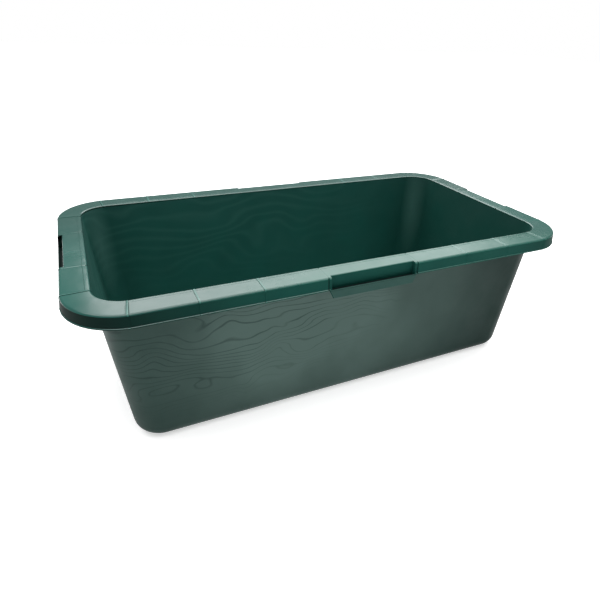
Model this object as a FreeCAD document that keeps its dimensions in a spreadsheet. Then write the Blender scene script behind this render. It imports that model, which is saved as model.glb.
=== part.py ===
import FreeCAD, Part
import math
import os
import re
import Sketcher

# Mortar mixing tub of the 65 litre class: one polyethylene moulding with leaning walls, a rounded floor
# bend, a flat rim flange with a down-turned skirt, and a recessed hand grip in the middle of each side.
# The moulding is drawn once as a few whole forms, which are then divided face to face into its regions.
#
# Frame: millimetres, +X along the tub's length, -Y the front, +Z up, origin under the middle of the floor.

SIZES = (
    ("rim_length", 850, "length over the rim's top outer edge"),
    ("rim_width", 460, "width over the rim's top outer edge"),
    ("tub_height", 260, "floor underside to the top of the rim"),
    ("rim_corner_radius", 84, "plan radius of the rim's outer corners"),
    ("rim_overhang", 35.5, "rim's outer edge to the outside of the wall, at the top"),
    ("end_taper", 27.5, "how far each end wall leans in, top to bottom"),
    ("side_taper", 12, "how far each long wall leans in, top to bottom"),
    ("wall_corner_radius", 42, "plan radius of the outside of the wall corners, at the floor"),
    ("floor_bend_radius", 24, "outside radius between floor and walls"),
    ("wall_thickness", 3, "walls and bends"),
    ("floor_thickness", 3, "flat floor"),
    ("mouth_radius", 2.4, "rounding of the mouth's inner top edge"),
    ("flange_thickness", 3, "flat top of the rim"),
    ("crease_radius", 4, "rounding between flange and skirt"),
    ("skirt_height", 20, "top of the rim to the skirt's lower edge"),
    ("skirt_flare", 2.5, "how far the skirt's lower edge stands out"),
    ("skirt_thickness", 2.5, "skirt, grip walls and grip lip"),
    ("long_grip_length", 145, "clear length of the grips in the long sides"),
    ("end_grip_length", 126, "clear length of the grips in the ends"),
    ("grip_depth", 7, "how far a grip is set back from the rim's edge"),
    ("grip_lip_height", 14, "how far a grip's lip hangs below the skirt"),
    ("grip_edge_radius", 2, "rounding of a grip's upper edge"),
    ("rib_thickness", 2.5, "ribs under the flange"),
    ("rib_depth", 14, "height of the ribs under the flange"),
    ("inner_rib_place", 172, "middle of the tub to the inner rib of each long side"),
    ("outer_rib_place", 259, "middle of the tub to the outer rib of each long side"),
)

document = FreeCAD.newDocument("mortar_mixing_tub")
sheet = document.addObject("Spreadsheet::Sheet", "sizes")
for row, (alias, value, note) in enumerate(SIZES, start=1):
    sheet.set(f"A{row}", alias)
    sheet.set(f"B{row}", str(value))
    sheet.set(f"C{row}", note)
    sheet.setAlias(f"B{row}", alias)
document.recompute()

# Lengths that several features share, written as formulas of the sheet's names.
WALL_TOP_X = "(rim_length / 2 - rim_overhang)"
WALL_TOP_Y = "(rim_width / 2 - rim_overhang)"
WALL_BASE_X = f"({WALL_TOP_X} - end_taper)"
WALL_BASE_Y = f"({WALL_TOP_Y} - side_taper)"
MOUTH_CORNER = "(rim_corner_radius - rim_overhang)"
WALL_CORNER_X = f"({WALL_BASE_X} - wall_corner_radius)"
WALL_CORNER_Y = f"({WALL_BASE_Y} - wall_corner_radius)"
RIM_CORNER_X = "(rim_length / 2 - rim_corner_radius)"
RIM_CORNER_Y = "(rim_width / 2 - rim_corner_radius)"
OUTSIDE_X = "(rim_length / 2 + 2 * skirt_flare + skirt_thickness)"
OUTSIDE_Y = "(rim_width / 2 + 2 * skirt_flare + skirt_thickness)"
FLANGE_UNDERSIDE = "(tub_height - flange_thickness)"
SKIRT_BOTTOM = "(tub_height - skirt_height)"
GRIP_BACK = "(grip_depth + skirt_thickness)"

ALIAS = re.compile(r"[a-z]+(?:_[a-z]+)+")


def tied(formula):
    """The formula with each of the sheet's names pointed at the sheet."""
    return ALIAS.sub(lambda name: "sizes." + name.group(0), formula)


def origin_plane(body, role):
    return next(plane for plane in body.Origin.OriginFeatures if plane.Role == role)


def new_sketch(body, name, role):
    sketch = body.newObject("Sketcher::SketchObject", name)
    sketch.AttachmentSupport = (origin_plane(body, role), [""])
    sketch.MapMode = "FlatFace"
    return sketch


def rounded_rectangle(body, name, half_x, half_y, corner, height):
    """A rectangle round the Z axis with four equal round corners, at the given height."""
    sketch = new_sketch(body, name, "XY_Plane")
    sketch.setExpression("AttachmentOffset.Base.z", tied(height))
    start_x, start_y, start_radius = 350, 150, 50
    quarter = math.pi / 2
    for turn, (side_x, side_y) in enumerate(((1, 1), (-1, 1), (-1, -1), (1, -1))):
        centre = FreeCAD.Vector(side_x * start_x, side_y * start_y, 0)
        circle = Part.Circle(centre, FreeCAD.Vector(0, 0, 1), start_radius)
        sketch.addGeometry(Part.ArcOfCircle(circle, turn * quarter, (turn + 1) * quarter))
    for arc in range(4):
        first = sketch.Geometry[arc].EndPoint
        second = sketch.Geometry[(arc + 1) % 4].StartPoint
        line = sketch.addGeometry(Part.LineSegment(first, second))
        sketch.addConstraint(Sketcher.Constraint("Tangent", arc, 2, line, 1))
        sketch.addConstraint(Sketcher.Constraint("Tangent", line, 2, (arc + 1) % 4, 1))
        sketch.addConstraint(Sketcher.Constraint("Vertical" if arc % 2 else "Horizontal", line))
    for arc in range(1, 4):
        sketch.addConstraint(Sketcher.Constraint("Equal", 0, arc))
    sketch.addConstraint(Sketcher.Constraint("Symmetric", 0, 3, 2, 3, -1, 1))
    driving = (
        (Sketcher.Constraint("DistanceX", -1, 1, 0, 3, start_x), f"{half_x} - ({corner})"),
        (Sketcher.Constraint("DistanceY", -1, 1, 0, 3, start_y), f"{half_y} - ({corner})"),
        (Sketcher.Constraint("Radius", 0, start_radius), corner),
    )
    for constraint, formula in driving:
        place = sketch.addConstraint(constraint)
        sketch.setExpression(f"Constraints[{place}]", tied(formula))
    return sketch


def loft(body, kind, name, lower, upper):
    """A straight-sided loft between two sketches, added to or taken from the body."""
    feature = body.newObject(f"PartDesign::{kind}Loft", name)
    feature.Profile = lower
    feature.Sections = [upper]
    feature.Ruled = True
    document.recompute()
    return feature


def round_edges(body, base, name, radius, chosen):
    """A fillet on the base feature's edges that the test picks."""
    fillet = body.newObject("PartDesign::Fillet", name)
    edges = enumerate(base.Shape.Edges, start=1)
    fillet.Base = (base, [f"Edge{number}" for number, edge in edges if chosen(edge.BoundBox)])
    fillet.setExpression("Radius", tied(radius))
    document.recompute()
    return fillet


def level(height):
    """A test for edges that lie flat at a height."""
    return lambda box: abs(box.ZMin - height) < 0.01 and abs(box.ZMax - height) < 0.01


def level_within(height, half_x, half_y):
    """A test for edges that lie flat at a height and stay inside a rectangle round the Z axis."""
    def chosen(box):
        reach_x = max(abs(box.XMin), abs(box.XMax))
        reach_y = max(abs(box.YMin), abs(box.YMax))
        return level(height)(box) and reach_x < half_x and reach_y < half_y
    return chosen


def new_body(name):
    return document.addObject("PartDesign::Body", name)


# ---- whole forms -------------------------------------------------------------------------------------

def tub_outside(body):
    """The tub's outer faces, as a solid block."""
    base = rounded_rectangle(body, "outside_base", WALL_BASE_X, WALL_BASE_Y, "wall_corner_radius", "0")
    top = rounded_rectangle(body, "outside_top", WALL_TOP_X, WALL_TOP_Y, MOUTH_CORNER, "tub_height")
    return loft(body, "Additive", "outside", base, top)


def tub_shell():
    """Walls and floor, open at the top, with both faces of the floor bend and the mouth rounded."""
    body = new_body("tub_shell")
    outside = tub_outside(body)
    floor_corner = "wall_corner_radius - wall_thickness"
    mouth_corner = f"{MOUTH_CORNER} - wall_thickness"
    floor_x = f"({WALL_BASE_X} + end_taper * floor_thickness / tub_height - wall_thickness)"
    floor_y = f"({WALL_BASE_Y} + side_taper * floor_thickness / tub_height - wall_thickness)"
    mouth_x = f"({WALL_TOP_X} - wall_thickness)"
    mouth_y = f"({WALL_TOP_Y} - wall_thickness)"
    base = rounded_rectangle(body, "inside_base", floor_x, floor_y, floor_corner, "floor_thickness")
    top = rounded_rectangle(body, "inside_top", mouth_x, mouth_y, mouth_corner, "tub_height")
    inside = loft(body, "Subtractive", "inside", base, top)
    outer_bend = round_edges(body, inside, "outer_bend", "floor_bend_radius", level(0))
    inner_bend = round_edges(
        body, outer_bend, "inner_bend", "floor_bend_radius - wall_thickness", level(sheet.floor_thickness))
    inset = sheet.rim_overhang + sheet.wall_thickness / 2
    inner_mouth = level_within(sheet.tub_height, sheet.rim_length / 2 - inset, sheet.rim_width / 2 - inset)
    round_edges(body, inner_bend, "mouth_rounding", "mouth_radius", inner_mouth)
    return body


def tub_block():
    body = new_body("tub_block")
    tub_outside(body)
    return body


def tapered_pad(body, name, outline, height):
    """A pad whose sides lean in by the skirt's flare as they rise."""
    pad = body.newObject("PartDesign::Pad", name)
    pad.Profile = outline
    pad.setExpression("Length", tied(height))
    pad.setExpression("TaperAngle", tied("-atan(skirt_flare / skirt_height)"))
    document.recompute()
    return pad


def rim_block():
    """Everything inside the rim's outer faces, from the skirt's lower edge up."""
    body = new_body("rim_block")
    outline = rounded_rectangle(
        body, "skirt_edge", "(rim_length / 2 + skirt_flare)", "(rim_width / 2 + skirt_flare)",
        "rim_corner_radius + skirt_flare", SKIRT_BOTTOM)
    block = tapered_pad(body, "rim_sides", outline, "skirt_height")
    round_edges(body, block, "crease", "crease_radius", level(sheet.tub_height))
    return body


def rim_hollow():
    """The space inside the skirt, below the flange."""
    body = new_body("rim_hollow")
    inset = "(skirt_flare - skirt_thickness)"
    outline = rounded_rectangle(
        body, "hollow_mouth", f"(rim_length / 2 + {inset})", f"(rim_width / 2 + {inset})",
        f"rim_corner_radius + {inset}", SKIRT_BOTTOM)
    tapered_pad(body, "hollow", outline, "skirt_height - flange_thickness")
    return body


def flange_plate():
    """The flat top of the rim inside the crease, before the tub's mouth is taken out."""
    body = new_body("flange_plate")
    outline = rounded_rectangle(
        body, "flange_outline", "(rim_length / 2 - crease_radius)", "(rim_width / 2 - crease_radius)",
        "rim_corner_radius - crease_radius", FLANGE_UNDERSIDE)
    plate = body.newObject("PartDesign::Pad", "plate")
    plate.Profile = outline
    plate.setExpression("Length", tied("flange_thickness"))
    return body


# ---- dividing the forms ------------------------------------------------------------------------------

def box(name, spans):
    """A block between six formulas: low and high X, low and high Y, low and high Z."""
    block = document.addObject("Part::Box", name)
    for (low, high), size, axis in zip(spans, ("Length", "Width", "Height"), "xyz"):
        block.setExpression(size, tied(f"{high} - ({low})"))
        block.setExpression(f"Placement.Base.{axis}", tied(low))
    return block


def cut(name, base, tool):
    result = document.addObject("Part::Cut", name)
    result.Base = base
    result.Tool = tool
    return result


def common(name, base, tool):
    result = document.addObject("Part::Common", name)
    result.Base = base
    result.Tool = tool
    return result


def fuse(name, shapes):
    result = document.addObject("Part::MultiFuse", name)
    result.Shapes = shapes
    result.Refine = False
    return result


# Thirds of the plan, by the side of the tub that they belong to.
ACROSS = {"left": -1, "": 0, "right": 1}
ALONG = {"front": -1, "": 0, "back": 1}
SIDES = ("front", "back", "left", "right")

parts = {}


def third(place, corner, outside):
    """The low and high end of one third: below, between or beyond the two corner planes."""
    spans = {-1: (f"-{outside}", f"-{corner}"), 0: (f"-{corner}", corner), 1: (corner, outside)}
    return spans[place]


def divide(form, ending, corner_x, corner_y, heights, skip=()):
    """Cuts a form into nine regions, or fewer, and keeps each as a part named for its place."""
    for across, place_x in ACROSS.items():
        for along, place_y in ALONG.items():
            place = "_".join(word for word in (along, across) if word)
            if place in skip:
                continue
            node = f"{place}_{ending}" if place else "floor_panel"
            spans = (third(place_x, corner_x, OUTSIDE_X), third(place_y, corner_y, OUTSIDE_Y), heights)
            parts[node] = common(node, form, box(f"{node}_region", spans))


def side_spans(side, near, far, along_low, along_high, heights):
    """Spans of a block on one side: near and far count inwards from the rim's outer edge."""
    half = "rim_width / 2" if side in ("front", "back") else "rim_length / 2"
    if side in ("front", "left"):
        outwards = (f"-({half}) + {near}", f"-({half}) + {far}")
    else:
        outwards = (f"({half}) - ({far})", f"({half}) - ({near})")
    along = (along_low, along_high)
    return (along, outwards, heights) if side in ("front", "back") else (outwards, along, heights)


def grip_half(side):
    return "(long_grip_length / 2)" if side in ("front", "back") else "(end_grip_length / 2)"


def notch(side):
    """The block that a grip takes out of its flange."""
    half = f"({grip_half(side)} + skirt_thickness)"
    spans = side_spans(side, "0", GRIP_BACK, f"-{half}", half, (FLANGE_UNDERSIDE, "tub_height"))
    return box(f"{side}_notch", spans)


def skirt_halves(side, ring, corner):
    """The two straight lengths of skirt on one side, either side of the grip."""
    inner = f"({grip_half(side)} + skirt_thickness)"
    names = ("left", "right") if side in ("front", "back") else ("front", "back")
    near, far = "-(2 * skirt_flare + skirt_thickness)", "rim_corner_radius"
    for name, ends in zip(names, ((f"-{corner}", f"-{inner}"), (inner, corner))):
        spans = side_spans(side, near, far, ends[0], ends[1], (SKIRT_BOTTOM, "tub_height"))
        node = f"{side}_skirt_{name}"
        parts[node] = common(node, ring, box(f"{node}_region", spans))


def outline_points(sketch, points):
    """A closed outline of straight lines, each corner tied to two formulas."""
    for number in range(len(points)):
        after = (number + 1) % len(points)
        first = FreeCAD.Vector(*points[number][2], 0)
        second = FreeCAD.Vector(*points[after][2], 0)
        sketch.addGeometry(Part.LineSegment(first, second))
    for number, (formula_x, formula_y, start) in enumerate(points):
        after = (number + 1) % len(points)
        sketch.addConstraint(Sketcher.Constraint("Coincident", number, 2, after, 1))
        ties = (("DistanceX", start[0], formula_x), ("DistanceY", start[1], formula_y))
        for kind, value, formula in ties:
            place = sketch.addConstraint(Sketcher.Constraint(kind, -1, 1, number, 1, value))
            sketch.setExpression(f"Constraints[{place}]", tied(formula))


def grip(side, rim):
    """A set-back face, a ledge at the skirt's lower edge, a hanging lip, and a return at each end."""
    long_side = side in ("front", "back")
    half = "rim_width / 2" if long_side else "rim_length / 2"
    sign = "-" if side in ("front", "left") else ""
    direction = -1 if sign else 1
    rim_edge = direction * (sheet.rim_width if long_side else sheet.rim_length) / 2
    ledge = "(skirt_height + skirt_thickness)"
    lip = "(skirt_height + grip_lip_height)"
    # Each corner: how far inside the rim's edge it is, how far below the top, and a place to start from.
    corners = (
        ("grip_depth", "0", 7, 0),
        (GRIP_BACK, "0", 10, 0),
        (GRIP_BACK, ledge, 10, 23),
        ("(skirt_thickness - skirt_flare)", ledge, 1, 23),
        ("(skirt_thickness - skirt_flare)", lip, 1, 34),
        ("(-skirt_flare)", lip, -3, 34),
        ("(-skirt_flare)", "skirt_height", -3, 20),
        ("grip_depth", "skirt_height", 7, 20),
    )
    points = []
    for inset, drop, start_inset, start_drop in corners:
        start = (rim_edge - direction * start_inset, sheet.tub_height - start_drop)
        points.append((f"{sign}({half} - {inset})", f"tub_height - {drop}", start))
    body = new_body(f"{side}_grip_profile")
    sketch = new_sketch(body, f"{side}_grip_outline", "YZ_Plane" if long_side else "XZ_Plane")
    outline_points(sketch, points)
    pad = body.newObject("PartDesign::Pad", f"{side}_grip_pad")
    pad.Profile = sketch
    pad.SideType = "Symmetric"
    pad.setExpression("Length", tied(f"2 * ({grip_half(side)} + skirt_thickness)"))
    document.recompute()
    face = rim_edge - direction * sheet.grip_depth

    def outer_top(bounds):
        across = (bounds.YMin, bounds.YMax) if long_side else (bounds.XMin, bounds.XMax)
        return level(sheet.tub_height)(bounds) and all(abs(value - face) < 0.01 for value in across)

    round_edges(body, pad, f"{side}_grip_rounding", "grip_edge_radius", outer_top)
    near = "-(2 * skirt_flare + skirt_thickness)"
    inner = grip_half(side)
    outer = f"({inner} + skirt_thickness)"
    ends = []
    for name, low, high in (("low", f"-{outer}", f"-{inner}"), ("high", inner, outer)):
        spans = side_spans(side, near, GRIP_BACK, low, high, (SKIRT_BOTTOM, "tub_height"))
        ends.append(box(f"{side}_return_{name}", spans))
    returns = common(f"{side}_returns", rim, fuse(f"{side}_return_boxes", ends))
    parts[f"{side}_grip"] = fuse(f"{side}_grip", [body, returns])


def ribs(side, space):
    """The ribs under one side's flange, behind the skirt and the grip, as one group of solids."""
    heights = (f"{FLANGE_UNDERSIDE} - rib_depth", FLANGE_UNDERSIDE)
    corner = RIM_CORNER_X if side in ("front", "back") else RIM_CORNER_Y
    places = [(f"({grip_half(side)} + skirt_thickness / 2)", GRIP_BACK), (corner, "-skirt_flare")]
    if side in ("front", "back"):
        places.append(("inner_rib_place", "-skirt_flare"))
        places.append(("outer_rib_place", "-skirt_flare"))
    blocks = []
    for number, (place, near) in enumerate(places):
        for sign, name in (("-", "low"), ("", "high")):
            low, high = f"{sign}{place} - rib_thickness / 2", f"{sign}{place} + rib_thickness / 2"
            spans = side_spans(side, near, "rim_overhang + wall_thickness", low, high, heights)
            blocks.append(box(f"{side}_rib_{number}_{name}", spans))
    parts[f"{side}_rim_ribs"] = common(f"{side}_rim_ribs", space, fuse(f"{side}_rib_blocks", blocks))


def check_document():
    """Stops before anything is written if a feature failed or a part isn't a valid solid."""
    for item in document.Objects:
        if "Invalid" in item.State or "Error" in item.State:
            raise RuntimeError(f"{item.Name} failed: {item.State}")
    for node, item in parts.items():
        if item.Shape.isNull() or not item.Shape.isValid() or not item.Shape.Solids:
            raise RuntimeError(f"{node} isn't a valid solid")


shell = tub_shell()
block = tub_block()
rim = rim_block()
hollow = rim_hollow()
plate = flange_plate()
skirt_ring = cut("skirt_ring", cut("rim_without_hollow", rim, hollow), plate)
flange_ring = cut("flange_ring", plate, block)
under_rim_space = cut("under_rim_space", hollow, block)

divide(shell, "floor_bend", WALL_CORNER_X, WALL_CORNER_Y, ("0", "floor_bend_radius"))
divide(shell, "wall", WALL_CORNER_X, WALL_CORNER_Y, ("floor_bend_radius", "tub_height"), skip=("",))
divide(skirt_ring, "skirt", RIM_CORNER_X, RIM_CORNER_Y, (SKIRT_BOTTOM, "tub_height"), skip=("", *SIDES))
divide(flange_ring, "flange", RIM_CORNER_X, RIM_CORNER_Y, (FLANGE_UNDERSIDE, "tub_height"), skip=("",))
for side in SIDES:
    whole = parts[f"{side}_flange"]
    whole.Label = f"{side}_flange_whole"
    parts[f"{side}_flange"] = cut(f"{side}_flange_notched", whole, notch(side))
    skirt_halves(side, skirt_ring, RIM_CORNER_X if side in ("front", "back") else RIM_CORNER_Y)
    grip(side, rim)
    ribs(side, under_rim_space)

document.recompute()
check_document()
os.makedirs("parts", exist_ok=True)
for node, item in parts.items():
    item.Label = node
    item.Shape.exportStep(f"parts/{node}.step")
print(f"{len(parts)} parts written")
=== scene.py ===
import math

import bmesh
import bpy
from mathutils import Matrix, Vector


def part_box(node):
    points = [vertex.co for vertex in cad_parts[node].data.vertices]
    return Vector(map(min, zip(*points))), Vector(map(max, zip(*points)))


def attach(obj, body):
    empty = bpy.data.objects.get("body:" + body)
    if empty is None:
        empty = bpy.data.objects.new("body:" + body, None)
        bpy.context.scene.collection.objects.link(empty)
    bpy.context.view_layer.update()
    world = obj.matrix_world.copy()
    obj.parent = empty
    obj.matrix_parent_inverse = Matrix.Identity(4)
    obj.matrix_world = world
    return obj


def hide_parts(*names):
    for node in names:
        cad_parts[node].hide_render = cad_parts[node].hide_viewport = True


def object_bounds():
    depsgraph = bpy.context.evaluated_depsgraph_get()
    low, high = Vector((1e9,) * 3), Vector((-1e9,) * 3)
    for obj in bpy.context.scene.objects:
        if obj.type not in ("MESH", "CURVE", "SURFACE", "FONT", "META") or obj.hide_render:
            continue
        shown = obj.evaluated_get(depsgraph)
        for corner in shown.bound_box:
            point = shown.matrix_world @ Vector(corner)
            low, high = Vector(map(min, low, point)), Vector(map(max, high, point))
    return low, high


# Mortar mixing tub: one injection-moulded polyethylene tub, made here as its tub, eight straight lengths of
# rim, four rim corners and four hand grips. The ribs under the rim are the CAD's own. Metres, +X along the
# tub, -Y the front, +Z up.

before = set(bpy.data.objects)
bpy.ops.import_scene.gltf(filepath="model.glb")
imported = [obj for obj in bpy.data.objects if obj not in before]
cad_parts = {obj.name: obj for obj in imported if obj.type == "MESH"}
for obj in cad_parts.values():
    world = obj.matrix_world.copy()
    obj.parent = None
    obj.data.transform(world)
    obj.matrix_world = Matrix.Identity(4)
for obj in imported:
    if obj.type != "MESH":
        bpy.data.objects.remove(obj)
cad_low, cad_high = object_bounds()

MM = 0.001
WALL = 3 * MM
FLARE = 2.5 * MM                     # how far the skirt's lower edge stands out past the flange's
TOP = cad_high.z - 0.4 * MM          # the flange's top, below the raised mould lines
UNDER_FLANGE = TOP - WALL
SKIRT_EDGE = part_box("front_skirt_left")[0].z
SKIRT_INSET = 0.35 * MM              # leaves room for the mould lines on the skirt
LIP_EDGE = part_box("front_grip")[0].z
RIM_X = cad_high.x - FLARE           # middle of the tub to the rim's top outer edge
RIM_Y = cad_high.y - FLARE
CORNER_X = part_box("front_flange")[1].x
CORNER_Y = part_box("right_flange")[1].y
RIM_RADIUS = RIM_Y - CORNER_Y
LONG_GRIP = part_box("front_grip")[1].x
END_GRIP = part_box("right_grip")[1].y
GRIP_DEPTH = 7 * MM
GRIP_WALL = 2.5 * MM
TRENCH = 1.9 * MM                    # behind each grip's lip, below its top edge
LIP_SHORT = 3 * MM                   # the lip's lower edge stops this far inside the grip's clear width
OVERHANG = 35.5 * MM
MOUTH = OVERHANG + WALL              # the rim's top outer edge to the tub's mouth
END_TAPER = 27.5 * MM
SIDE_TAPER = 12 * MM
FLOOR_CORNER = 42 * MM
MOUTH_CORNER = RIM_RADIUS - OVERHANG
FLANGE_LINE = [(31.3 * MM, TOP, 0), (31.7 * MM, TOP - 0.35 * MM, 0), (32.1 * MM, TOP, 0)]
ROUND_STEPS = 5                      # in a section's rounded corners
CORNER_STEPS = 16                    # in each round corner of the tub's walls
SHARP = math.radians(38)             # edges that turn more than this stay crisp
TOUCH = 0.01 * MM                    # places nearer than this count as one
ENDLESS = 1000                       # metres: a patch this wide doesn't fade that way
MIX, MATH, RANGE = "ShaderNodeMix", "ShaderNodeMath", "ShaderNodeMapRange"
FLANGE, SKIRT, LINE_HIGHLIGHT, RECESS, LIP = range(5)     # places of a rim piece's finishes, in RIM_FINISHES


# ---- making meshes -----------------------------------------------------------------------------------

def part_finishes(bm):
    """Gives plain faces that don't look upwards the rim's second finish. A line's painted highlight shows
    only on faces that do, and a groove's painted shade doesn't show on top."""
    bmesh.ops.recalc_face_normals(bm, faces=bm.faces)
    for face in bm.faces:
        upwards = face.normal.z > 0.5
        if upwards and face.material_index == RECESS and face.calc_center_median().z > UNDER_FLANGE:
            face.material_index = FLANGE
        elif not upwards and face.material_index in (FLANGE, LINE_HIGHLIGHT):
            face.material_index = SKIRT


def finish_piece(name, bm, materials, nodes):
    """Turns a bmesh into a shaded piece that rides on the tub and stands for its CAD nodes."""
    bmesh.ops.recalc_face_normals(bm, faces=bm.faces)
    for face in bm.faces:
        face.smooth = True
    for edge in bm.edges:
        edge.smooth = edge.is_manifold and edge.calc_face_angle() < SHARP
    mesh = bpy.data.meshes.new(name)
    bm.to_mesh(mesh)
    bm.free()
    for material in materials:
        mesh.materials.append(material)
    piece = bpy.data.objects.new(name, mesh)
    bpy.context.scene.collection.objects.link(piece)
    even = piece.modifiers.new("even_shading", "WEIGHTED_NORMAL")
    even.keep_sharp = True
    even.weight = 60
    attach(piece, "root")
    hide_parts(*nodes)


def section(bm, outline):
    """A flat face from (inset, height, rounding) corners. Inset runs along +Y from the rim's outer edge."""
    corners = [bm.verts.new((0, inset, height)) for inset, height, rounding in outline]
    bm.faces.new(corners)
    for corner, (inset, height, rounding) in zip(corners, outline):
        if rounding:
            bmesh.ops.bevel(
                bm, geom=[corner], offset=rounding, segments=ROUND_STEPS, profile=0.5, affect="VERTICES",
                material=-1, clamp_overlap=False)


def swelling(deeper, taller):
    """Grows a section a little about a point inside the rim."""
    heart = Vector((0, 20 * MM, TOP - 20 * MM))
    grow = Matrix.Diagonal((1, 1 + deeper, 1 + taller, 1))
    return Matrix.Translation(heart) @ grow @ Matrix.Translation(-heart)


def draw_out(outline, stations, finishes=None):
    """Draws a section through its stations: each a matrix that places the section. Finishes gives the place
    of another finish for the sides of some steps."""
    finishes = finishes or {}
    bm = bmesh.new()
    section(bm, outline)
    bm.faces.ensure_lookup_table()
    face = bm.faces[0]
    bmesh.ops.transform(bm, matrix=stations[0], verts=face.verts)
    for number, (before, after) in enumerate(zip(stations, stations[1:])):
        made = bmesh.ops.extrude_face_region(bm, geom=[face])["geom"]
        if number:
            bmesh.ops.delete(bm, geom=[face], context="FACES_ONLY")
        face = next(item for item in made if isinstance(item, bmesh.types.BMFace))
        bmesh.ops.transform(bm, matrix=after @ before.inverted(), verts=face.verts)
        if number in finishes:
            for side in {side for edge in face.edges for side in edge.link_faces} - {face}:
                side.material_index = finishes[number]
    return bm


def joined(pieces):
    """One bmesh that holds several closed forms."""
    whole = bmesh.new()
    for bm in pieces:
        mesh = bpy.data.meshes.new("joined")
        bm.to_mesh(mesh)
        bm.free()
        whole.from_mesh(mesh)
        bpy.data.meshes.remove(mesh)
    return whole


def rounded_ring(bm, half_x, half_y, radius, height):
    """A rectangular face round the Z axis with round corners."""
    made = bmesh.ops.create_grid(bm, x_segments=1, y_segments=1, size=1)
    bmesh.ops.scale(bm, vec=(half_x, half_y, 1), verts=made["verts"])
    bmesh.ops.translate(bm, vec=(0, 0, height), verts=made["verts"])
    rounded = bmesh.ops.bevel(
        bm, geom=made["verts"], offset=radius, segments=CORNER_STEPS, profile=0.5, affect="VERTICES",
        material=-1, clamp_overlap=False)
    verts = set(rounded["verts"])
    return next(face for face in bm.faces if verts.issuperset(face.verts))


# ---- materials ---------------------------------------------------------------------------------------

def linear(colour):
    """An sRGB hex colour as linear red, green, blue and alpha."""
    parts = [int(colour[start:start + 2], 16) / 255 for start in (1, 3, 5)]
    curved = [part / 12.92 if part <= 0.04045 else ((part + 0.055) / 1.055) ** 2.4 for part in parts]
    return (*curved, 1)


def add(tree, kind, sockets=None, **settings):
    """Adds a node: its settings, then a value or a link for each socket named or numbered."""
    node = tree.nodes.new(kind)
    for setting, value in settings.items():
        setattr(node, setting, value)
    for socket, value in (sockets or {}).items():
        if isinstance(value, bpy.types.NodeSocket):
            tree.links.new(value, node.inputs[socket])
        else:
            node.inputs[socket].default_value = value
    return node


def new_material(name):
    material = bpy.data.materials.new(name)
    material.use_nodes = True
    material.node_tree.nodes.clear()
    return material, material.node_tree


def object_place(tree, centre=(0, 0, 0), size=(1, 1, 1)):
    """Object coordinates, moved so that centre is the origin and divided by size."""
    place = add(tree, "ShaderNodeTexCoord").outputs["Object"]
    moved = add(tree, "ShaderNodeVectorMath", {0: place, 1: centre}, operation="SUBTRACT").outputs[0]
    return add(tree, "ShaderNodeVectorMath", {0: moved, 1: size}, operation="DIVIDE").outputs[0]


def patch(tree, centre, size):
    """A soft oval patch: 1 at its centre and 0 at its edge."""
    near = object_place(tree, centre, size)
    return add(tree, "ShaderNodeTexGradient", {"Vector": near}, gradient_type="SPHERICAL").outputs["Fac"]


def clouds(tree, size):
    """Slow, blotchy change of shade, with blotches about as wide as size."""
    near = object_place(tree)
    return add(tree, "ShaderNodeTexNoise", {
        "Vector": near, "Scale": 1 / size, "Detail": 3}).outputs["Fac"]


def flow_lines(tree, spacing, loop, breadth):
    """Contour lines left by the melt's front as it filled the mould: long, level and wavy, with a few closed
    loops. Spacing is how far apart they are, loop how wide a wave is, and breadth how broad a line is."""
    near = object_place(tree, size=(1.5 * loop, 3 * loop, 0.75 * loop))
    hills = add(tree, "ShaderNodeTexNoise", {
        "Vector": near, "Scale": 1.0, "Detail": 1.6, "Roughness": 0.42, "Distortion": 0.35}).outputs["Fac"]
    climb = add(tree, MATH, {0: hills, 1: 1.15 * loop / spacing}, operation="MULTIPLY").outputs[0]
    raised = object_place(tree, size=(1, 1, 1.3 * spacing))
    height = add(tree, "ShaderNodeSeparateXYZ", {0: raised}).outputs["Z"]
    phase = add(tree, MATH, {0: climb, 1: height}, operation="ADD").outputs[0]
    nearest = add(tree, MATH, {0: phase, 1: 0.5}, operation="PINGPONG").outputs[0]
    return add(tree, RANGE, {"Value": nearest, 1: 0.0, 2: breadth, 3: 1.0, 4: 0.0}).outputs[0]


def moulded_grain(tree, strength, lines=None):
    """The mould's fine eroded texture over slow, shallow waves, with any flow lines slightly sunk. Real grain
    is a few tenths of a millimetre wide, too fine to show, so it is drawn 1.8 mm wide."""
    grain = add(tree, "ShaderNodeTexNoise", {
        "Vector": object_place(tree), "Scale": 1 / (1.8 * MM), "Detail": 2})
    fine = add(tree, "ShaderNodeBump", {
        "Height": grain.outputs["Fac"], "Strength": strength, "Distance": 0.25 * MM}).outputs[0]
    dents = add(tree, "ShaderNodeTexNoise", {
        "Vector": object_place(tree), "Scale": 1 / (45 * MM), "Detail": 2})
    wavy = add(tree, "ShaderNodeBump", {
        "Height": dents.outputs["Fac"], "Strength": 0.5, "Distance": 1.6 * MM, "Normal": fine}).outputs[0]
    if lines is None:
        return wavy
    return add(tree, "ShaderNodeBump", {
        "Height": lines, "Strength": 0.35, "Distance": 0.25 * MM, "Normal": wavy}, invert=True).outputs[0]


def finish_surface(tree, colour, roughness, normal, specular):
    surface = add(tree, "ShaderNodeBsdfPrincipled", {
        "Base Color": colour, "Roughness": roughness, "Normal": normal, "IOR": 1.51,
        "Specular IOR Level": specular})
    add(tree, "ShaderNodeOutputMaterial", {"Surface": surface.outputs[0]})


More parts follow.
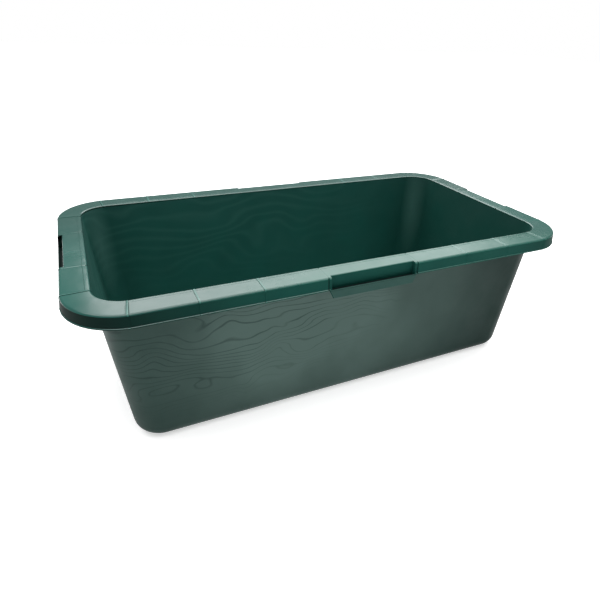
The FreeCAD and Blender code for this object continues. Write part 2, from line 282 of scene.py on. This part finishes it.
def satin_flange():
    """The rim's top: satin bottle-green polyethylene, so it carries a broad sheen. It is painted a little
    paler along the front and at both ends, a painted highlight, and the paler front is also duller."""
    material, tree = new_material("satin_polyethylene_flange")
    greens = {0: clouds(tree, 60 * MM), 6: linear("#164039"), 7: linear("#1b4d46")}
    colour = add(tree, MIX, greens, data_type="RGBA").outputs[2]
    # The paler front and ends are a painted highlight, where the lamps' light falls brighter.
    front = patch(tree, (100 * MM, -RIM_Y, TOP), (380 * MM, 90 * MM, 90 * MM))
    front_painted_light = add(tree, RANGE, {"Value": front, 1: 0.0, 2: 0.5}).outputs[0]
    colour = add(tree, MIX, {0: front_painted_light, 6: colour, 7: linear("#1f574c")}, data_type="RGBA").outputs[2]
    for side in (-1, 1):
        end = patch(tree, (side * RIM_X, -80 * MM, TOP), (90 * MM, 170 * MM, 90 * MM))
        paler = add(tree, RANGE, {"Value": end, 1: 0.0, 2: 0.5}).outputs[0]
        colour = add(tree, MIX, {0: paler, 6: colour, 7: linear("#1e5149")}, data_type="RGBA").outputs[2]
    polish = add(tree, RANGE, {"Value": clouds(tree, 25 * MM), 1: 0.3, 2: 0.7, 3: 0.17, 4: 0.23}).outputs[0]
    duller = add(tree, MATH, {0: front_painted_light, 1: 0.11}, operation="MULTIPLY").outputs[0]
    roughness = add(tree, MATH, {0: polish, 1: duller}, operation="ADD").outputs[0]
    finish_surface(tree, colour, roughness, moulded_grain(tree, 0.05), 0.5)
    return material


def matt_side(name, dark, light):
    """Matt moulded polyethylene with almost no gloss, as on the rim's outer side. It is darker towards the
    tub's ends, which stands partly for the shade there."""
    material, tree = new_material(name)
    greens = {0: clouds(tree, 50 * MM), 6: linear(dark), 7: linear(light)}
    colour = add(tree, MIX, greens, data_type="RGBA").outputs[2]
    middle = patch(tree, (70 * MM, 0, 0), (470 * MM, ENDLESS, ENDLESS))
    lighter = add(tree, RANGE, {"Value": middle, 1: 0.05, 2: 0.55}).outputs[0]
    colour = add(tree, MIX, {0: lighter, 6: linear("#071d19"), 7: colour}, data_type="RGBA").outputs[2]
    finish_surface(tree, colour, 0.6, moulded_grain(tree, 0.10), 0.04)
    return material


def painted_highlight_line():
    """Raised mould lines on the rim, painted paler than the moulding round them: a painted highlight."""
    material, tree = new_material("polyethylene_line_painted_highlight")
    # The paler greens are a painted highlight on the raised lines.
    greens = {0: clouds(tree, 12 * MM), 6: linear("#1f554d"), 7: linear("#33695f")}
    colour = add(tree, MIX, greens, data_type="RGBA").outputs[2]
    finish_surface(tree, colour, 0.26, moulded_grain(tree, 0.10), 0.5)
    return material


def rough_recess():
    """The ledge in a hand grip and the lip's leaning ends: rough moulded polyethylene, given a nearly black
    green that stands for the deep shade there."""
    material, tree = new_material("rough_polyethylene_recess")
    greens = {0: clouds(tree, 20 * MM), 6: linear("#04100e"), 7: linear("#0a1c19")}
    colour = add(tree, MIX, greens, data_type="RGBA").outputs[2]
    finish_surface(tree, colour, 0.75, moulded_grain(tree, 0.3), 0.1)
    return material


def outside_painted_sheen():
    """The tub's outer walls: green polyethylene under a painted greyish sheen, a painted reflection strongest
    in the middle and at the ends, with dark flow lines under the rim at the left."""
    material, tree = new_material("polyethylene_outside_painted_sheen")
    # The grey-green patches in the middle and at the ends are painted sheen: painted reflections.
    middle = patch(tree, (-80 * MM, 0, 150 * MM), (400 * MM, ENDLESS, 330 * MM))
    painted_sheen = add(tree, MATH, {0: middle, 1: 1.3}, operation="MULTIPLY").outputs[0]
    for side in (-1, 1):
        end = patch(tree, (side * 400 * MM, 0, 130 * MM), (60 * MM, 190 * MM, 170 * MM))
        painted_sheen = add(tree, MATH, {0: painted_sheen, 1: end}, operation="ADD").outputs[0]
    uneven = add(tree, RANGE, {"Value": clouds(tree, 110 * MM), 1: 0.3, 2: 0.7, 3: 0.75, 4: 1.15}).outputs[0]
    painted_sheen = add(tree, MATH, {0: painted_sheen, 1: uneven}, operation="MULTIPLY").outputs[0]
    held = add(tree, RANGE, {"Value": painted_sheen, 1: 0.0, 2: 1.0}).outputs[0]
    greens = {0: held, 6: linear("#08241f"), 7: linear("#495d58")}
    colour = add(tree, MIX, greens, data_type="RGBA").outputs[2]
    lines = flow_lines(tree, 9 * MM, 80 * MM, 0.12)
    upper = patch(tree, (-270 * MM, 0, 235 * MM), (400 * MM, ENDLESS, 200 * MM))
    under_rim = add(tree, RANGE, {"Value": upper, 1: 0.0, 2: 0.45}).outputs[0]
    shown = add(tree, MATH, {0: lines, 1: under_rim}, operation="MULTIPLY").outputs[0]
    broken = add(tree, RANGE, {"Value": clouds(tree, 70 * MM), 1: 0.3, 2: 0.5, 3: 0.35, 4: 1.0}).outputs[0]
    shown = add(tree, MATH, {0: shown, 1: broken}, operation="MULTIPLY").outputs[0]
    amount = add(tree, MATH, {0: shown, 1: 0.6}, operation="MULTIPLY").outputs[0]
    colour = add(tree, MIX, {0: amount, 6: colour, 7: linear("#0b211e")}, data_type="RGBA").outputs[2]
    dull = {"Value": clouds(tree, 40 * MM), 1: 0.3, 2: 0.7, 3: 0.44, 4: 0.56}
    roughness = add(tree, RANGE, dull).outputs[0]
    finish_surface(tree, colour, roughness, moulded_grain(tree, 0.12, shown), 0.08)
    return material


def satin_inside():
    """The tub's inner walls and floor: clean bottle green, painted darker at the ends as painted shade, with
    faint pale flow marks and a pale band in each back corner that is a painted reflection."""
    material, tree = new_material("satin_polyethylene_inside")
    greens = {0: clouds(tree, 90 * MM), 6: linear("#195048"), 7: linear("#226259")}
    colour = add(tree, MIX, greens, data_type="RGBA").outputs[2]
    # A lighter middle and darker ends: painted shade.
    middle = patch(tree, (-20 * MM, 0, 0), (460 * MM, ENDLESS, ENDLESS))
    lighter = add(tree, RANGE, {"Value": middle, 1: 0.1, 2: 0.45}).outputs[0]
    colour = add(tree, MIX, {0: lighter, 6: linear("#14463e"), 7: colour}, data_type="RGBA").outputs[2]
    lines = flow_lines(tree, 20 * MM, 150 * MM, 0.3)
    upper = patch(tree, (-150 * MM, 0, 250 * MM), (460 * MM, ENDLESS, 200 * MM))
    under_rim = add(tree, RANGE, {"Value": upper, 1: 0.0, 2: 0.6}).outputs[0]
    shown = add(tree, MATH, {0: lines, 1: under_rim}, operation="MULTIPLY").outputs[0]
    amount = add(tree, MATH, {0: shown, 1: 0.12}, operation="MULTIPLY").outputs[0]
    colour = add(tree, MIX, {0: amount, 6: colour, 7: linear("#5c8f86")}, data_type="RGBA").outputs[2]
    # A pale band in each back corner: a painted reflection.
    for side in (-1, 1):
        corner = patch(tree, (side * 362 * MM, 178 * MM, 190 * MM), (26 * MM, 34 * MM, 140 * MM))
        amount = add(tree, MATH, {0: corner, 1: 0.35}, operation="MULTIPLY").outputs[0]
        colour = add(tree, MIX, {0: amount, 6: colour, 7: linear("#5d8a82")}, data_type="RGBA").outputs[2]
    dull = {"Value": clouds(tree, 40 * MM), 1: 0.3, 2: 0.7, 3: 0.42, 4: 0.55}
    roughness = add(tree, RANGE, dull).outputs[0]
    finish_surface(tree, colour, roughness, moulded_grain(tree, 0.10), 0.4)
    return material


flange_green = satin_flange()
skirt_green = matt_side("matt_polyethylene_skirt", "#0e3b35", "#17483f")
# The lip's greyer green is a painted sheen, and like the skirt it is painted darker towards the ends as
# painted shade.
lip_green = matt_side("polyethylene_lip_painted_sheen", "#27423d", "#37534d")     # greyer than the skirt
# The mould lines' paler finish is a painted highlight.
line_green = painted_highlight_line()
recess_green = rough_recess()
outside_green = outside_painted_sheen()
inside_green = satin_inside()
RIM_FINISHES = [flange_green, skirt_green, line_green, recess_green, lip_green]


# ---- tub ---------------------------------------------------------------------------------------------

def wall_ring(bm, height, inwards):
    """A ring of the wall at a height: its outside, or its inside when inwards is the wall's thickness."""
    drop = 1 - height / cad_high.z
    half_x = RIM_X - OVERHANG - END_TAPER * drop - inwards
    half_y = RIM_Y - OVERHANG - SIDE_TAPER * drop - inwards
    radius = MOUTH_CORNER + (FLOOR_CORNER - MOUTH_CORNER) * drop - inwards
    return rounded_ring(bm, half_x, half_y, radius, height)


def make_tub():
    bm = bmesh.new()
    base = wall_ring(bm, 0, 0)
    top = wall_ring(bm, UNDER_FLANGE, 0)
    bmesh.ops.bridge_loops(bm, edges=list(base.edges) + list(top.edges))
    bmesh.ops.inset_region(bm, faces=[top], thickness=WALL, use_even_offset=True)
    mouth = list(top.edges)
    bmesh.ops.delete(bm, geom=[top], context="FACES_ONLY")
    floor = wall_ring(bm, WALL, WALL)
    bmesh.ops.bridge_loops(bm, edges=mouth + list(floor.edges))
    bmesh.ops.recalc_face_normals(bm, faces=bm.faces)
    outer_bend, inner_bend = 22.5 * MM, 19.7 * MM
    for face, bend in ((base, outer_bend), (floor, inner_bend)):
        bmesh.ops.bevel(
            bm, geom=list(face.edges), offset=bend, segments=8, profile=0.5, affect="EDGES", material=-1,
            clamp_overlap=False)
    for face in bm.faces:
        middle = face.calc_center_median()
        outwards = Vector((middle.x, middle.y, 0)).dot(face.normal)
        face.material_index = 0 if outwards > 0 or middle.z < 1 * MM else 1
    nodes = ["floor_panel"]
    corners = ("front_left", "front_right", "back_left", "back_right")
    for place in ("front", "back", "left", "right", *corners):
        nodes += [f"{place}_floor_bend", f"{place}_wall"]
    finish_piece("tub", bm, [outside_green, inside_green], nodes)


# ---- rim ---------------------------------------------------------------------------------------------

def rim_outline(lean, groove=True, inner=None):
    """The rim's section: a bead along the skirt's lower edge, the skirt, crease, flange and rounded mouth.
    Inner closes it off for a grip's return, which reaches down behind the lip."""
    bead = SKIRT_INSET - FLARE
    outline = [
        (bead, SKIRT_EDGE, 0.5 * MM), (bead, SKIRT_EDGE + 1.2 * MM, 0.3 * MM),
        (1.35 * MM - FLARE, SKIRT_EDGE + 2 * MM, 0), (0.4 * MM, TOP, 3.5 * MM)]
    if groove:
        outline += FLANGE_LINE
    outline += [(MOUTH, TOP, 2.4 * MM), (MOUTH + lean * (TOP - UNDER_FLANGE), UNDER_FLANGE, 0)]
    if inner:
        behind = SKIRT_EDGE - GRIP_WALL
        return outline + [
            (inner, UNDER_FLANGE, 0), (inner, behind, 0), (0.2 * MM, behind, 0), (0.2 * MM, SKIRT_EDGE, 0)]
    return outline + [(2.4 * MM, UNDER_FLANGE, 1.5 * MM), (0, SKIRT_EDGE, 1.1 * MM)]


LINE_RAISE = (0.013, 0.015)          # the section's growth, across the rim and upwards
LINE_SINK = (-0.014, -0.012)
PARTING_SINK = (-0.07, -0.014)
DEEP = -0.05                         # a sink past this is a parting groove's


def mould_line(place):
    """Stations of a fine raised line with a groove beside it: how far along, then the section's growth."""
    return [(place - 1.9 * MM, 0, 0), (place - 1.2 * MM, *LINE_RAISE), (place + 1.2 * MM, *LINE_RAISE),
            (place + 1.6 * MM, *LINE_SINK), (place + 2.1 * MM, *LINE_SINK), (place + 2.6 * MM, 0, 0)]


def line_finishes(marks):
    """A painted highlight for the steps on a raised line, and painted shade for those in a parting groove."""
    finishes = {}
    for number, (mark, after) in enumerate(zip(marks, marks[1:])):
        if min(mark[1], after[1]) > 0:
            finishes[number] = LINE_HIGHLIGHT
        elif max(mark[1], after[1]) < DEEP:
            finishes[number] = RECESS
    return finishes


def parting_groove(place):
    """Stations of the groove beside a grip, deeper in the skirt than in the flange."""
    return [(place - 1.1 * MM, 0, 0), (place - 0.7 * MM, *PARTING_SINK), (place + 0.5 * MM, *PARTING_SINK),
            (place + 0.9 * MM, 0, 0)]


def straight_length(name, half, start, end, lines, quarter, lean, nodes):
    """A straight length of rim from start to end along a side that is turned by quarters from the front."""
    marks = [(start, 0, 0)]
    for line in lines:
        marks += line
    marks.append((end, 0, 0))
    turn = Matrix.Rotation(quarter * math.pi / 2, 4, "Z")
    stations = [turn @ Matrix.Translation((along, -half, 0)) @ swelling(deeper, taller)
                for along, deeper, taller in marks]
    bm = draw_out(rim_outline(lean), stations, line_finishes(marks))
    part_finishes(bm)
    finish_piece(name, bm, RIM_FINISHES, nodes)


def mirrored(line):
    """A line's stations on the other side of the middle."""
    return [(-along, deeper, taller) for along, deeper, taller in reversed(line)]


LONG_LINES = [parting_groove(LONG_GRIP + 2.6 * MM), mould_line(173 * MM), mould_line(262 * MM)]
END_LINES = [parting_groove(END_GRIP + 2.2 * MM)]
SIDES = (
    ("front", 0, RIM_Y, CORNER_X, LONG_GRIP, LONG_LINES, SIDE_TAPER, ("left", "right")),
    ("right", 1, RIM_X, CORNER_Y, END_GRIP, END_LINES, END_TAPER, ("front", "back")),
    ("back", 2, RIM_Y, CORNER_X, LONG_GRIP, LONG_LINES, SIDE_TAPER, ("right", "left")),
    ("left", 3, RIM_X, CORNER_Y, END_GRIP, END_LINES, END_TAPER, ("back", "front")),
)


def make_rim_lengths():
    for side, quarter, half, corner, grip, lines, taper, (low, high) in SIDES:
        lean = taper / cad_high.z
        before = [mirrored(line) for line in reversed(lines)]
        straight_length(
            f"{side}_rim_{low}", half, -corner, -grip, before, quarter, lean, [f"{side}_skirt_{low}"])
        straight_length(
            f"{side}_rim_{high}", half, grip, corner, lines, quarter, lean, [f"{side}_skirt_{high}"])


def make_rim_corners():
    """A quarter turn of rim at each corner, with a mould line a little way round from each end."""
    corners = (
        ("front_right", 1, -1, 0), ("back_right", 1, 1, 1),
        ("back_left", -1, 1, 2), ("front_left", -1, -1, 3))
    near_long_side, near_end = 9 * MM, 4 * MM
    quarter_length = RIM_RADIUS * math.pi / 2
    plain = 22                       # steps between the two mould lines
    for place, side_x, side_y, quarter in corners:
        from_long = quarter % 2 == 0
        first, last = (near_long_side, near_end) if from_long else (near_end, near_long_side)
        marks = [(0, 0, 0)] + mould_line(first)
        for step in range(1, plain):
            marks.append((first + (quarter_length - first - last) * step / plain, 0, 0))
        marks += mould_line(quarter_length - last)
        marks.append((quarter_length, 0, 0))
        centre = Matrix.Translation((side_x * CORNER_X, side_y * CORNER_Y, 0))
        stations = []
        for along, deeper, taller in marks:
            turn = Matrix.Rotation(quarter * math.pi / 2 + along / RIM_RADIUS, 4, "Z")
            edge = turn @ Matrix.Translation((0, -RIM_RADIUS, 0))
            stations.append(centre @ edge @ swelling(deeper, taller))
        lean = (SIDE_TAPER + END_TAPER) / 2 / cad_high.z
        bm = draw_out(rim_outline(lean, groove=False), stations, line_finishes(marks))
        part_finishes(bm)
        finish_piece(f"{place}_rim", bm, RIM_FINISHES, [f"{place}_skirt", f"{place}_flange"])


# ---- grips -------------------------------------------------------------------------------------------

def make_grips():
    """Each grip: a set-back face, a ledge, a trench, a hanging lip with leaning ends, and a return at each
    end. They are three closed forms in one mesh."""
    back = GRIP_DEPTH + GRIP_WALL
    ledge = SKIRT_EDGE - GRIP_WALL
    trench = SKIRT_EDGE - TRENCH
    for side, quarter, half, _, grip, _, taper, _ in SIDES:
        lean = taper / cad_high.z
        clear = grip - GRIP_WALL
        front = [
            (GRIP_DEPTH, TOP, 2 * MM), *FLANGE_LINE,
            (MOUTH, TOP, 2.4 * MM), (MOUTH + lean * (TOP - UNDER_FLANGE), UNDER_FLANGE, 0),
            (back, UNDER_FLANGE, 0), (back, ledge, 0), (0, ledge, 0), (0, LIP_EDGE, 1 * MM),
            (-FLARE, LIP_EDGE, 1 * MM), (-FLARE, SKIRT_EDGE, 1 * MM), (0, SKIRT_EDGE, 0.5 * MM),
            (0.4 * MM, trench, 0), (GRIP_DEPTH, trench, 0)]
        placed = [Matrix.Translation((along, -half, 0)) for along in (-clear, clear)]
        middle = draw_out(front, placed)
        lip = [vert for vert in middle.verts if vert.co.y < -half + 1 * MM]
        upper = [vert for vert in lip if vert.co.z > ledge - 1 * MM]
        lower = [vert for vert in lip if vert.co.z <= ledge - 1 * MM]
        bmesh.ops.scale(middle, vec=(grip / clear, 1, 1), verts=upper)
        bmesh.ops.scale(middle, vec=((clear - LIP_SHORT) / clear, 1, 1), verts=lower)
        forms = [middle]
        for outer, inner in ((-grip, -clear), (grip, clear)):
            placed = [Matrix.Translation((along, -half, 0)) for along in (outer, inner)]
            outline = rim_outline(lean, inner=back)
            outline.insert(2, (GRIP_DEPTH, TOP, 0))
            form = draw_out(outline, placed)
            rounded = [edge for edge in form.edges
                       if all(abs(vert.co.x - inner) < TOUCH and vert.co.y < GRIP_DEPTH - half + TOUCH
                              for vert in edge.verts)]
            made = bmesh.ops.bevel(
                form, geom=rounded, offset=0.8 * MM, segments=3, profile=0.5, affect="EDGES", material=-1,
                clamp_overlap=True)
            for face in made["faces"]:
                face.material_index = LIP
            forms.append(form)
        bm = joined(forms)
        bm.normal_update()
        for face in bm.faces:
            centre = face.calc_center_median()
            inset, rise = centre.y + half, centre.z - SKIRT_EDGE
            if inset < GRIP_DEPTH + 1 * MM and -2 * MM < rise < -0.8 * MM:
                face.material_index = RECESS
            elif rise < 1 * MM and inset < 0:
                leaning_end = abs(face.normal.x) > 0.3 and rise < -1 * MM
                face.material_index = RECESS if leaning_end else LIP
        part_finishes(bm)
        turn = Matrix.Rotation(quarter * math.pi / 2, 3, "Z")
        bmesh.ops.rotate(bm, cent=(0, 0, 0), matrix=turn, verts=bm.verts)
        finish_piece(f"{side}_hand_grip", bm, RIM_FINISHES, [f"{side}_grip", f"{side}_flange"])


make_tub()
make_rim_lengths()
make_rim_corners()
make_grips()

for side in ("front", "back", "left", "right"):
    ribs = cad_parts[f"{side}_rim_ribs"]
    ribs.data.materials.clear()
    ribs.data.materials.append(skirt_green)


# ---- studio ------------------------------------------------------------------------------------------

def make_floor():
    """A pale, matt table lit from within, so the tub hardly shades it."""
    material, tree = new_material("matt_white_light_table")
    surface = add(tree, "ShaderNodeBsdfPrincipled", {
        "Base Color": linear("#e4e4e4"), "Roughness": 0.9, "Emission Color": linear("#ffffff"),
        "Emission Strength": 0.55})
    add(tree, "ShaderNodeOutputMaterial", {"Surface": surface.outputs[0]})
    bm = bmesh.new()
    bmesh.ops.create_grid(bm, x_segments=1, y_segments=1, size=12)
    bmesh.ops.translate(bm, vec=(0, 0, -0.2 * MM), verts=bm.verts)
    mesh = bpy.data.meshes.new("floor")
    bm.to_mesh(mesh)
    bm.free()
    mesh.materials.append(material)
    floor = bpy.data.objects.new("floor", mesh)
    bpy.context.scene.collection.objects.link(floor)


def light_studio():
    """A broad silk overhead, a wide soft box behind and to the right that points down and forwards, and a dim
    room whose backdrop looks white."""
    lamp = bpy.data.lights.new("overhead_silk", "SUN")
    lamp.energy = 4.4
    lamp.angle = math.radians(80)
    silk = bpy.data.objects.new("overhead_silk", lamp)
    silk.rotation_euler = (math.radians(-8), math.radians(4), 0)
    bpy.context.scene.collection.objects.link(silk)
    lamp = bpy.data.lights.new("soft_box", "AREA")
    lamp.shape = "RECTANGLE"
    lamp.size = 2.4
    lamp.size_y = 0.85
    lamp.energy = 24
    box = bpy.data.objects.new("soft_box", lamp)
    box.location = (0.76, 1.30, 1.26)
    box.rotation_euler = (math.radians(-25), 0, 0)
    bpy.context.scene.collection.objects.link(box)
    world = bpy.data.worlds.new("studio")
    world.use_nodes = True
    tree = world.node_tree
    tree.nodes.clear()
    room = add(tree, "ShaderNodeBackground", {"Color": linear("#ffffff"), "Strength": 0.3})
    backdrop = add(tree, "ShaderNodeBackground", {"Color": linear("#ffffff"), "Strength": 1.0})
    seen = add(tree, "ShaderNodeLightPath").outputs["Is Camera Ray"]
    mixed = add(tree, "ShaderNodeMixShader", {0: seen, 1: room.outputs[0], 2: backdrop.outputs[0]})
    add(tree, "ShaderNodeOutputWorld", {"Surface": mixed.outputs[0]})
    bpy.context.scene.world = world
    bpy.context.scene.view_settings.view_transform = "Standard"


def make_camera():
    """Looks down on the tub from the front left."""
    place = (-0.3655, -0.7713, 0.5739)
    azimuth, elevation, roll = math.radians(-26.57), math.radians(29.35), math.radians(2.66)
    back = Vector((math.sin(azimuth) * math.cos(elevation), -math.cos(azimuth) * math.cos(elevation),
                   math.sin(elevation)))
    right = Vector((0, 0, 1)).cross(back).normalized()
    up = back.cross(right)
    level = Matrix((right, up, back)).transposed()
    lens = bpy.data.cameras.new("camera")
    lens.sensor_width = 36
    lens.lens = 28.95
    lens.shift_x = -0.0294
    lens.shift_y = -0.0058
    lens.clip_start = 0.02
    camera = bpy.data.objects.new("camera", lens)
    rolled = level @ Matrix.Rotation(roll, 3, "Z")
    camera.matrix_world = Matrix.Translation(place) @ rolled.to_4x4()
    bpy.context.scene.collection.objects.link(camera)
    bpy.context.scene.camera = camera


make_floor()
make_camera()
light_studio()
